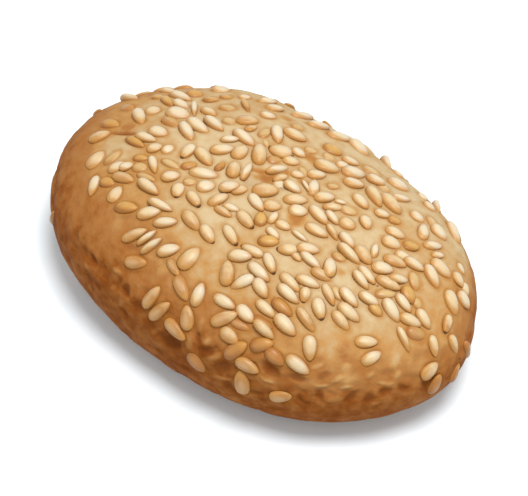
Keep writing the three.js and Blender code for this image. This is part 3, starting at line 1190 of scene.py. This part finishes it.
@dataclass(frozen=True)
class SeedFinish:
    """Sesame of one kind: a tone for each seed, browner at the tip, a rim partly toasted and partly painted
    shade, painted shade at its base, a painted highlight on its crest, and a soft gloss.
    """

    light: Colour
    dark: Colour
    tan: Colour
    rim: Colour
    rim_share: float
    roughness: float
    coat: float
    # A painted highlight on each seed's crest.
    painted_highlight: Colour
    highlight_share: float
    tone_steps: tuple[float, float, float] = (0.1, 0.55, 0.95)
    mottle: Lumps = Lumps(0.9)
    mottle_share: float = 0.4
    toast: Colour = srgb(176, 124, 62)
    toast_share: float = 0.4
    toast_reach: Span = (0.0, 0.4)
    rim_band: Span = (0.5, 1.05)
    # Painted shade where each seed meets the crust.
    base_shade: Colour = srgb(162, 106, 42)
    base_shade_share: float = 0.56
    base_shade_band: Span = (0.05, 0.65)
    highlight_band: Span = (0.7, 1.0)
    tip: Colour = srgb(64, 34, 18)
    tip_share: float = 0.9
    tip_reach: Span = (0.04, 0.14)
    skin: Lumps = Lumps(0.5)
    skin_depth: float = 0.03
    skin_strength: float = 0.6
    roughness_swing: float = 0.15
    gloss: float = 0.2
    coat_roughness: float = 0.2
    translucence: float = 0.1
    translucent_depth: float = 0.4
    translucent_reach: Colour = (1.0, 0.6, 0.3)

    def material(self, name: str) -> bpy.types.Material:
        """Makes the material.

        Args:
            name: The material's name.

        Returns:
            The material, which reads the attributes tone, height, edge, along and dark_tip.
        """
        bench = NodeBench(name)
        mottle = bench.noise(self.mottle)
        along, height, edge = (bench.attribute(key) for key in ("along", "height", "edge"))
        stops = list(zip(self.tone_steps, (self.light, self.dark, self.tan)))
        colour = bench.ramp(bench.attribute("tone") + mottle * self.mottle_share, stops)
        colour = bench.mix(colour, self.toast, (1 - along.rise(*self.toast_reach)) * self.toast_share)
        # The rim is partly toasted and partly painted shade, wider on each seed's shaded side.
        colour = bench.mix(colour, self.rim, edge.rise(*self.rim_band) * self.rim_share)
        colour = bench.mix(colour, self.base_shade, (1 - height.rise(*self.base_shade_band)) * self.base_shade_share)
        colour = bench.mix(colour, self.painted_highlight, height.rise(*self.highlight_band) * self.highlight_share)
        tip = (1 - along.rise(*self.tip_reach)) * bench.attribute("dark_tip")
        colour = bench.mix(colour, self.tip, tip * self.tip_share)
        skin = {
            "Height": bench.noise(self.skin),
            "Distance": self.skin_depth * MM,
            "Strength": self.skin_strength,
        }
        bump = bench.add("ShaderNodeBump", None, skin)
        return bench.finish(
            {
                "Base Color": colour,
                "Roughness": self.roughness + mottle * self.roughness_swing,
                "Specular IOR Level": self.gloss,
                "Subsurface Weight": self.translucence,
                "Subsurface Radius": self.translucent_reach,
                "Subsurface Scale": self.translucent_depth * MM,
                "Coat Weight": self.coat,
                "Coat Roughness": self.coat_roughness,
                "Normal": bump,
            }
        )


SEED_FINISHES = {
    SeedKind.PALE: SeedFinish(
        light=srgb(187, 173, 147),
        dark=srgb(182, 158, 118),
        tan=srgb(156, 110, 60),
        rim=srgb(170, 124, 66),
        rim_share=0.85,
        roughness=0.42,
        coat=0.05,
        painted_highlight=srgb(205, 181, 141),
        highlight_share=0.28,
    ),
    SeedKind.TOASTED: SeedFinish(
        light=srgb(176, 140, 80),
        dark=srgb(164, 118, 59),
        tan=srgb(150, 99, 49),
        rim=srgb(140, 88, 38),
        rim_share=0.75,
        roughness=0.4,
        coat=0.06,
        painted_highlight=srgb(190, 150, 88),
        highlight_share=0.22,
    ),
    SeedKind.GLAZED: SeedFinish(
        light=srgb(178, 150, 104),
        dark=srgb(168, 132, 80),
        tan=srgb(154, 104, 56),
        rim=srgb(150, 100, 48),
        rim_share=0.65,
        roughness=0.4,
        coat=0.08,
        painted_highlight=srgb(186, 160, 114),
        highlight_share=0.25,
    ),
}


def write_floats(mesh: bpy.types.Mesh, name: str, values: np.ndarray) -> None:
    """Keeps one value for each vertex on a mesh.

    Args:
        mesh: The mesh.
        name: The attribute's name.
        values: One value for each vertex.
    """
    attribute = mesh.attributes.new(name, "FLOAT", "POINT")
    attribute.data.foreach_set("value", values.astype(np.float32))


def read_points(mesh: bpy.types.Mesh) -> np.ndarray:
    """Reads a mesh's vertices, one to a row."""
    flat = np.empty(3 * len(mesh.vertices), np.float32)
    mesh.vertices.foreach_get("co", flat)
    return flat.reshape(-1, 3).astype(float)


@dataclass(frozen=True)
class Dent:
    """One soft dent in the crust, also used for a ridge and for a stain or a painted shade, where its depth
    is a height or a darkening.
    """

    point: np.ndarray
    along: np.ndarray
    normal: np.ndarray
    half_length: float
    half_width: float
    depth: float
    floor: float = 0.35
    outer: float = 1.25

    def share(self, points: np.ndarray) -> np.ndarray:
        """Gives how deep in the dent each point is, from 0 outside to 1 in the middle."""
        apart = points - self.point
        along = apart @ self.along / self.half_length
        across = apart @ np.cross(self.normal, self.along) / self.half_width
        through = apart @ self.normal / self.half_length
        return smooth(self.outer, self.floor, np.sqrt(along**2 + across**2 + through**2))


@dataclass(frozen=True)
class CrustRelief:
    """What the baking did to the crust: lumps, dents, ridges, stains, the closed hole and the fold, with
    painted shade in hollows and below seeds and painted highlights on ridges.
    """

    dents: tuple[Dent, ...]
    ridges: tuple[Dent, ...]
    stains_and_shades: tuple[Dent, ...]
    closed_hole: ClosedHole = ClosedHole()
    fold: Fold = Fold()
    fold_shade: float = 0.45
    dent_strength: float = 0.5
    ridge_highlight: float = 1.2
    ragged_length: float = 1.7
    ragged_depth: float = 0.35
    ragged_starts: tuple[float, float, float] = (1.3, 4.9, 7.7)
    pit_shade_depth: float = 0.42
    lump_length: float = 13.0
    lump_depth: float = 0.3
    lump_start: float = 3.7
    knob_length: float = 5.0
    knob_depth: float = 0.1
    knob_start: float = 8.9
    wrinkle_length: float = 4.2
    wrinkle_squash: float = 1.7
    wrinkle_start: float = 11.3
    finer_length: float = 2.0
    finer_share: float = 0.6
    finer_start: float = 5.1
    small_dent_full: float = 0.7
    small_dent_depth: float = 0.3
    small_dent_shade: float = 0.3
    small_ridge_full: float = -0.6
    small_ridge_height: float = 0.12
    small_ridge_highlight: float = 0.1
    band: Span = (0.5, 1.15)
    foot: Span = (-1.0, 2.5)
    top: Span = (1.2, 0.6)

    def lift(self, spots: Spots) -> tuple[np.ndarray, np.ndarray, np.ndarray]:
        """Gives how far the crust is lifted at each spot, and how brown and how shaded it is painted there.

        Args:
            spots: Places on the crust.

        Returns:
            The lift in millimetres, the painted shade of hollows from 0 to 1, and the added bake with its
            painted shade and light.
        """
        points = spots.points
        steepness = np.arccos(np.clip(spots.normals[:, 2], -1, 1))
        band = smooth(*self.band, steepness) * smooth(*self.foot, points[:, 2])
        squashed = points * (1.0, 1.0, self.wrinkle_squash)
        wrinkle = unevenness(squashed, self.wrinkle_length, self.wrinkle_start)
        wrinkle += self.finer_share * unevenness(squashed, self.finer_length, self.finer_start)
        small_dents = smooth(0.0, self.small_dent_full, wrinkle) * band
        small_ridges = smooth(0.0, self.small_ridge_full, wrinkle) * band
        # Small dents get painted shade, and small ridges paler painted light.
        darkening = self.small_dent_shade * small_dents
        added_bake_and_shading = -self.small_ridge_highlight * small_ridges
        lift = self.lump_depth * unevenness(points, self.lump_length, self.lump_start)
        lift += self.knob_depth * unevenness(points, self.knob_length, self.knob_start)
        lift += self.small_ridge_height * small_ridges - self.small_dent_depth * small_dents
        hole_lift, hole_mask = self.closed_hole.lift(points)
        fold_lift, fold_mask = self.fold.lift(points)
        top = smooth(*self.top, steepness)
        lift += (hole_lift + fold_lift) * top
        warp = [unevenness(points, self.ragged_length, start) for start in self.ragged_starts]
        ragged = points + self.ragged_depth * np.column_stack(warp)
        # Dents are darkened with painted shade, ridges paled with painted light, and stains and painted
        # shade below seeds added to the bake.
        for dent in self.dents:
            share = dent.share(ragged)
            lift -= self.dent_strength * dent.depth * share
            darkening += share * dent.depth / self.pit_shade_depth
        for ridge in self.ridges:
            share = ridge.share(ragged)
            lift += ridge.depth * share
            added_bake_and_shading -= self.ridge_highlight * ridge.depth * share
        for mark in self.stains_and_shades:
            added_bake_and_shading += mark.depth * mark.share(ragged)
        # Painted shade on the fold.
        added_bake_and_shading += self.fold_shade * fold_mask * top
        return lift, np.clip(darkening + (hole_mask + fold_mask) * top, 0, 1), added_bake_and_shading

    @classmethod
    def seen_in(cls, seen: SeenCrust) -> "CrustRelief":
        """Makes the relief with its dents, ridges, stains and painted shades where the picture shows them.
        """
        stains_and_shades = ((x, y, 0, half, half, darkening) for x, y, half, darkening in STAIN_AND_SHADE_PLACES)
        found = []
        for places in (DENT_PLACES, RIDGE_PLACES, stains_and_shades):
            found.append(tuple(Dent(*seen.find(*place[:3]), *place[3:]) for place in places))
        return cls(*found)

    def settle(self, seeds: list[Seed]) -> None:
        """Moves seeds from the plain form to the lifted crust.

        Args:
            seeds: The seeds.
        """
        points = np.array([seed.point for seed in seeds])
        normals = np.array([seed.normal for seed in seeds])
        lift, _, _ = self.lift(Spots(points, normals, np.ones(len(seeds))))
        for seed, height in zip(seeds, lift):
            seed.point = seed.point + seed.normal * height


@dataclass
class Crust:
    """The crust: its form, the relief on it and the dents that the seeds lie in."""

    form: CrustForm
    bake_and_shading: BakeAndShading
    relief: CrustRelief
    seeds: list[Seed]
    width_share: float
    finish: CrustFinish = field(default_factory=CrustFinish)
    facets: int = 6
    fine_cuts: int = 2
    fine_above: float = -0.45
    edge_round: float = 0.9
    seed_reach: float = 1.4
    seed_edge: float = 0.36
    seed_shadow: float = 0.33
    propped_shadow: float = 0.6
    collar_place: float = 0.12
    collar_width: float = 0.3
    collar_height: float = 0.05
    bed_depth: float = 0.14
    bed_edge: Span = (0.15, -0.4)

    def build(self) -> bpy.types.Object:
        """Models the crust from a ball of even facets.

        Returns:
            The crust, with the attributes that its finish reads.
        """
        bpy.ops.object.select_all(action="DESELECT")
        bpy.ops.mesh.primitive_ico_sphere_add(subdivisions=self.facets, radius=1.0)
        crust = bpy.context.object
        crust.name = "crust"
        crust.data.name = "crust"
        bpy.ops.object.mode_set(mode="EDIT")
        bpy.ops.mesh.select_mode(type="FACE")
        bpy.ops.mesh.select_all(action="DESELECT")
        bpy.ops.object.mode_set(mode="OBJECT")
        for face in crust.data.polygons:
            face.select = face.center.z > self.fine_above
        bpy.ops.object.mode_set(mode="EDIT")
        bpy.ops.mesh.subdivide(number_cuts=self.fine_cuts)
        bpy.ops.object.mode_set(mode="OBJECT")
        self.shape(crust.data)
        bpy.ops.object.shade_smooth()
        return crust

    def shape(self, mesh: bpy.types.Mesh) -> None:
        """Moves the ball's vertices to the crust and keeps what its finish needs.

        Args:
            mesh: The ball.
        """
        spots = self.form.spots(unit(read_points(mesh)))
        lift, darkening, added_bake_and_shading = self.relief.lift(spots)
        lifted = spots.points + spots.normals * lift[:, None]
        seed_lift, seed_shade = self.seed_dents(lifted)
        moved = lifted + spots.normals * seed_lift[:, None]
        height = moved[:, 2]
        moved[:, 2] = (height + np.sqrt(height**2 + self.edge_round**2)) / 2
        moved[:, 2] -= moved[:, 2].min()
        mesh.vertices.foreach_set("co", (moved * MM).astype(np.float32).ravel())
        mesh.update()
        # The bake holds real browning with painted shade and light; pit_shade and seed_shade are painted
        # shade.
        write_floats(mesh, "bake_and_shading", self.bake_and_shading.at(spots) + added_bake_and_shading)
        write_floats(mesh, "pit_shade", darkening)
        write_floats(mesh, "seed_shade", seed_shade)

    def seed_dents(self, points: np.ndarray) -> tuple[np.ndarray, np.ndarray]:
        """Gives the shallow dents that the seeds lie in, and the painted shade on the crust beside each
        seed.

        Args:
            points: Places on the crust.

        Returns:
            The lift in millimetres, and the painted shade beside the seeds, from 0 to 1, which grows with
            closeness to a seed.
        """
        lift, seed_shade = np.zeros(len(points)), np.zeros(len(points))
        for seed in self.seeds:
            apart = points - seed.point
            near = np.flatnonzero((apart**2).sum(1) < (seed.length / 2 + self.seed_reach) ** 2)
            along = apart[near] @ seed.along / (seed.length / 2)
            across = apart[near] @ seed.across / (seed.length * self.width_share * seed.slim / 2)
            rho = np.hypot(along, across)
            outside = (rho - 1) * seed.length * self.seed_edge
            # Painted shade on the crust beside each seed, weaker beside a propped seed.
            shade_beside = np.exp(-((np.maximum(outside, 0) / self.seed_shadow) ** 2))
            if seed.lift == 0:
                collar = np.exp(-(((outside - self.collar_place) / self.collar_width) ** 2))
                bed = smooth(*self.bed_edge, outside)
                lift[near] += self.collar_height * collar - self.bed_depth * bed
            else:
                shade_beside *= self.propped_shadow
            seed_shade[near] = np.maximum(seed_shade[near], shade_beside)
        return lift, seed_shade

    def dress(self, crust: bpy.types.Object) -> None:
        """Gives the crust its finish and its place in the frame.

        Args:
            crust: The crust.
        """
        crust.data.materials.append(self.finish.material())
        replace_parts(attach(crust, BODY), NODE)


@dataclass
class SeedLayer:
    """The seeds of one kind, as one joined mesh."""

    kind: SeedKind
    seeds: list[Seed]
    width_share: float
    thickness_share: float = 0.36
    taper: float = 0.17
    pointedness: float = 0.22
    fullness: float = 2.5
    # Painted shade: each seed's tone and rim darken on its side facing this way.
    shaded_way: tuple[float, float, float] = (-0.1, -0.94, -0.32)
    shade_tone: float = 0.34
    shade_edge: float = 0.34
    facets_round: int = 8
    facets_long: int = 9

    def model_seed(self) -> tuple[np.ndarray, list[list[int]]]:
        """Models one seed of unit half-sizes along X, lying flat with its tip at -X.

        Returns:
            The seed's vertices, and its faces as lists of vertex numbers.
        """
        bpy.ops.object.select_all(action="DESELECT")
        bpy.ops.mesh.primitive_uv_sphere_add(
            segments=self.facets_round, ring_count=self.facets_long, radius=1.0
        )
        ball = bpy.context.object
        points = read_points(ball.data)
        faces = [list(face.vertices) for face in ball.data.polygons]
        along = points[:, 2]
        waist = np.sqrt(np.clip(1 - along**2, TINY, 1))
        fuller = np.sqrt(1 - np.abs(along) ** self.fullness) / waist
        girth = fuller * (1 + self.taper * along) * (1 - self.pointedness * np.maximum(-along, 0) ** 2)
        shaped = np.column_stack((along, points[:, 1] * girth, -points[:, 0] * girth))
        bpy.data.objects.remove(ball)
        return shaped, faces

    def build(self) -> bpy.types.Object:
        """Joins a copy of the seed for each place.

        Returns:
            The seeds, with the attributes that their finish reads.
        """
        shape, faces = self.model_seed()
        places, joined = [], []
        rows = {"tone": [], "dark_tip": [], "along": [], "height": [], "edge": []}
        for number, seed in enumerate(self.seeds):
            long = seed.length / 2
            wide = long * self.width_share * seed.slim
            thick = long * self.thickness_share * seed.plump
            middle = seed.point + seed.normal * (thick * (1 - 2 * SUNK_SHARES[seed.kind]) + seed.lift)
            axes = np.array([seed.along * long, seed.across * wide, seed.normal * thick])
            from_middle = shape @ axes
            # Painted shade on each seed's side facing the shaded way.
            shade_side = np.clip(from_middle @ np.array(self.shaded_way) / wide, -1.0, 1.0)
            places.append(middle + from_middle)
            joined.extend([number * len(shape) + corner for corner in face] for face in faces)
            rows["tone"].append(seed.tone + self.shade_tone * shade_side)
            rows["dark_tip"].append(np.full(len(shape), seed.dark_tip))
            rows["along"].append((shape[:, 0] + 1) / 2)
            rows["height"].append(shape[:, 2])
            rows["edge"].append(np.hypot(shape[:, 0], shape[:, 1]) * (1 + self.shade_edge * shade_side))
        mesh = bpy.data.meshes.new(f"seeds_{self.kind.value}")
        mesh.from_pydata((np.concatenate(places) * MM).tolist(), [], joined)
        for name, values in rows.items():
            write_floats(mesh, name, np.concatenate(values))
        layer = bpy.data.objects.new(mesh.name, mesh)
        bpy.context.scene.collection.objects.link(layer)
        bpy.ops.object.select_all(action="DESELECT")
        layer.select_set(True)
        bpy.context.view_layer.objects.active = layer
        bpy.ops.object.mode_set(mode="EDIT")
        bpy.ops.mesh.select_all(action="SELECT")
        bpy.ops.mesh.normals_make_consistent(inside=False)
        bpy.ops.object.mode_set(mode="OBJECT")
        bpy.ops.object.shade_smooth()
        return layer

    def dress(self, layer: bpy.types.Object) -> None:
        """Gives the seeds their finish and their place in the frame.

        Args:
            layer: The joined seeds.
        """
        layer.data.materials.append(SEED_FINISHES[self.kind].material(f"{self.kind.value}_sesame"))
        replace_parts(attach(layer, BODY), NODE)


@dataclass(frozen=True)
class Studio:
    """A pale floor, soft light from above and to the right, and a camera that looks down at the bagel."""

    view: View
    floor_size: float = 6.0
    floor_tone: Colour = (0.71, 0.75, 0.78)
    floor_roughness: float = 0.9
    floor_glow: float = 0.08
    glow_tone: Colour = (0.8, 0.96, 1.0)
    sky: float = 0.76
    sky_tone: Colour = (1.0, 1.0, 1.0)
    nearest: float = 0.01
    key_power: float = 2.85
    key_size: float = 0.24
    key_distance: float = 0.5
    key_azimuth: float = math.radians(85.0)
    key_elevation: float = math.radians(79.0)

    @staticmethod
    def away(azimuth: float, elevation: float) -> Vector:
        """Gives the direction from the bagel to a place round it.

        Args:
            azimuth: Angle round the bagel, 0 at -Y and growing towards +X.
            elevation: Angle above the floor.

        Returns:
            The unit direction.
        """
        flat = math.cos(elevation)
        return Vector((math.sin(azimuth) * flat, -math.cos(azimuth) * flat, math.sin(elevation)))

    def set_camera(self) -> None:
        """Places the camera."""
        facing = Matrix(self.view.axes.T.tolist()).to_euler()
        bpy.ops.object.camera_add(location=(self.view.camera * MM).tolist(), rotation=facing)
        camera = bpy.context.object
        camera.data.sensor_width = self.view.sensor
        camera.data.lens = self.view.lens
        camera.data.clip_start = self.nearest
        bpy.context.scene.camera = camera

    def set_lights(self) -> None:
        """Places the key light and sets the even light all round."""
        towards = self.away(self.key_azimuth, self.key_elevation)
        bpy.ops.object.light_add(
            type="AREA",
            location=towards * self.key_distance,
            rotation=(-towards).to_track_quat("-Z", "Y").to_euler(),
        )
        key = bpy.context.object
        key.name = "key_light"
        key.data.shape = "DISK"
        key.data.size = self.key_size
        key.data.energy = self.key_power
        world = bpy.data.worlds.new("soft_sky")
        world.use_nodes = True
        background = world.node_tree.nodes["Background"]
        background.inputs["Color"].default_value = (*self.sky_tone, 1.0)
        background.inputs["Strength"].default_value = self.sky
        bpy.context.scene.world = world

    def set_floor(self) -> None:
        """Lays the floor."""
        bpy.ops.mesh.primitive_plane_add(size=self.floor_size)
        floor = bpy.context.object
        floor.name = "floor"
        bench = NodeBench("pale_floor")
        sockets = {
            "Base Color": self.floor_tone,
            "Roughness": self.floor_roughness,
            "Emission Color": self.glow_tone,
            "Emission Strength": self.floor_glow,
        }
        floor.data.materials.append(bench.finish(sockets))

    def build(self) -> None:
        """Sets the floor, the lights, the camera and plain colour."""
        self.set_floor()
        self.set_lights()
        self.set_camera()
        bpy.context.scene.view_settings.view_transform = "Standard"


def main() -> None:
    """Builds the crust, the seeds and the studio, and logs their face counts."""
    logging.basicConfig(level=logging.INFO, format="%(message)s")
    form = CrustForm()
    view = View()
    seen = SeenCrust(form, view)
    bake_and_shading = BakeAndShading(form)
    cover = SeedCover(seen, bake_and_shading)
    seeds = cover.lay()
    relief = CrustRelief.seen_in(seen)
    relief.settle(seeds)
    crust = Crust(form, bake_and_shading, relief, seeds, cover.width_share)
    made = crust.build()
    crust.dress(made)
    LOG.info("%s: %d faces", made.name, len(made.data.polygons))
    for kind in SeedKind:
        layer = SeedLayer(kind, [seed for seed in seeds if seed.kind is kind], cover.width_share)
        made = layer.build()
        layer.dress(made)
        LOG.info("%s: %d seeds, %d faces", made.name, len(layer.seeds), len(made.data.polygons))
    Studio(view).build()


if __name__ == "__main__":
    main()
